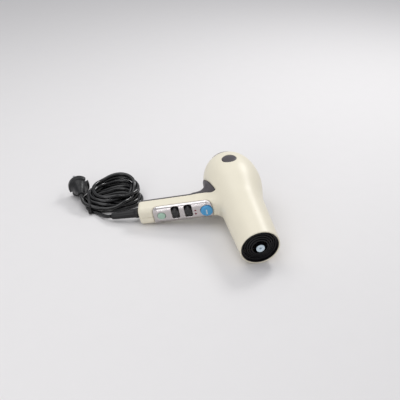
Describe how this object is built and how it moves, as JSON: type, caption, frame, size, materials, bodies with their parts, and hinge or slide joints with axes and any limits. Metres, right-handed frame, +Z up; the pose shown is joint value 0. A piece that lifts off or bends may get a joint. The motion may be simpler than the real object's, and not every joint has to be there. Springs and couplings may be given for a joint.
{
  "type": "hair dryer",
  "caption": "Household ionic hair dryer lying on its side: bulged cream barrel, straight handle with switch panel, and a mains cord tied in a hank with its plug.",
  "frame": {"origin": "centre of the dryer's footprint on the surface it lies on, without the cord, hank, tie and plug", "axes": "+Z up from the surface; -Y roughly the way the air leaves the barrel; -X roughly the way the handle points"},
  "size_m": [0.2998, 0.2766, 0.0899],
  "materials": {
    "cream_shell": "smooth satin-gloss moulded plastic, cream",
    "dark_grey_shell": "satin moulded plastic, dark warm grey",
    "black_plastic": "matte black heat-resistant plastic",
    "silver_panel": "satin silver, slightly mauve",
    "switch_black": "semi-gloss black plastic",
    "blue_button": "glossy mid-blue plastic",
    "mint_button": "glossy pale mint plastic",
    "pale_blue_disc": "glossy pale blue plastic",
    "steel": "bright steel",
    "filter_mesh": "fine steel mesh",
    "brass": "sintered bronze or brass",
    "mica": "pressed mica board",
    "heating_wire": "oxidised resistance wire",
    "soft_black": "soft black moulding",
    "cord_black": "satin black cable jacket",
    "plug_black": "matte black moulded plug"
  },
  "bodies": {
    "dryer": {"right_housing": "cream_shell", "left_housing": "cream_shell", "back_shell": "dark_grey_shell", "right_badge": "dark_grey_shell", "left_badge": "dark_grey_shell", "housing_screw_1": "steel", "housing_screw_2": "steel", "motor_can": "steel", "rear_bearing": "brass", "front_bearing": "brass", "motor_cradle": "black_plastic", "air_guide": "black_plastic", "mica_board_flat": "mica", "mica_board_upright": "mica", "mica_sleeve": "mica", "front_coil": "heating_wire", "rear_coil": "heating_wire", "thermostat": "steel", "thermal_fuse": "brass", "outlet_grille": "black_plastic", "ion_emitter_disc": "pale_blue_disc", "ion_emitter_needle": "steel", "switch_panel": "silver_panel", "speed_switch": "black_plastic", "heat_switch": "black_plastic", "cool_shot_spring": "steel", "cool_shot_switch": "black_plastic", "ion_button_spring": "steel", "ion_switch": "black_plastic", "ion_generator": "black_plastic", "strain_relief": "soft_black", "cord_clamp": "black_plastic", "cord_hank": "cord_black", "cord_tie": "soft_black", "cord_lead": "cord_black", "cord_tail": "cord_black", "plug_body": "plug_black", "plug_pin_1": "steel", "plug_pin_2": "steel"},
    "rotor": {"motor_shaft": "steel", "fan_impeller": "black_plastic"},
    "speed_rocker": {"speed_rocker": "switch_black"},
    "heat_rocker": {"heat_rocker": "switch_black"},
    "cool_shot_button": {"cool_shot_button": "blue_button"},
    "ion_button": {"ion_button": "mint_button"},
    "intake": {"intake_cap": "dark_grey_shell", "intake_filter": "filter_mesh"}
  },
  "joints": [
    {"name": "rotor_spin", "type": "hinge", "parent": "dryer", "child": "rotor", "pos_m": [0.0748, 0.04803, 0.04473], "axis": [0, 0.9947, 0.1026], "continuous": true},
    {"name": "speed_rocker_tilt", "type": "hinge", "parent": "dryer", "child": "speed_rocker", "pos_m": [-0.02279, 0.01887, 0.02548], "axis": [-0.9605, 0.2258, -0.1628], "range_deg": [0, 20]},
    {"name": "heat_rocker_tilt", "type": "hinge", "parent": "dryer", "child": "heat_rocker", "pos_m": [-0.0036, 0.01428, 0.02872], "axis": [-0.9605, 0.2258, -0.1628], "range_deg": [0, 20]},
    {"name": "cool_shot_press", "type": "slide", "parent": "dryer", "child": "cool_shot_button", "axis": [0.2042, 0.9689, 0.1395], "range_m": [0, 0.0025], "stiffness_N_per_m": 600, "deforming": ["cool_shot_spring"]},
    {"name": "ion_press", "type": "slide", "parent": "dryer", "child": "ion_button", "axis": [0.2042, 0.9689, 0.1395], "range_m": [0, 0.001], "stiffness_N_per_m": 600, "deforming": ["ion_button_spring"]},
    {"name": "intake_cap_release", "type": "slide", "parent": "dryer", "child": "intake", "axis": [0, 0.9947, 0.1026], "range_m": [0, 0.03]}
  ]
}
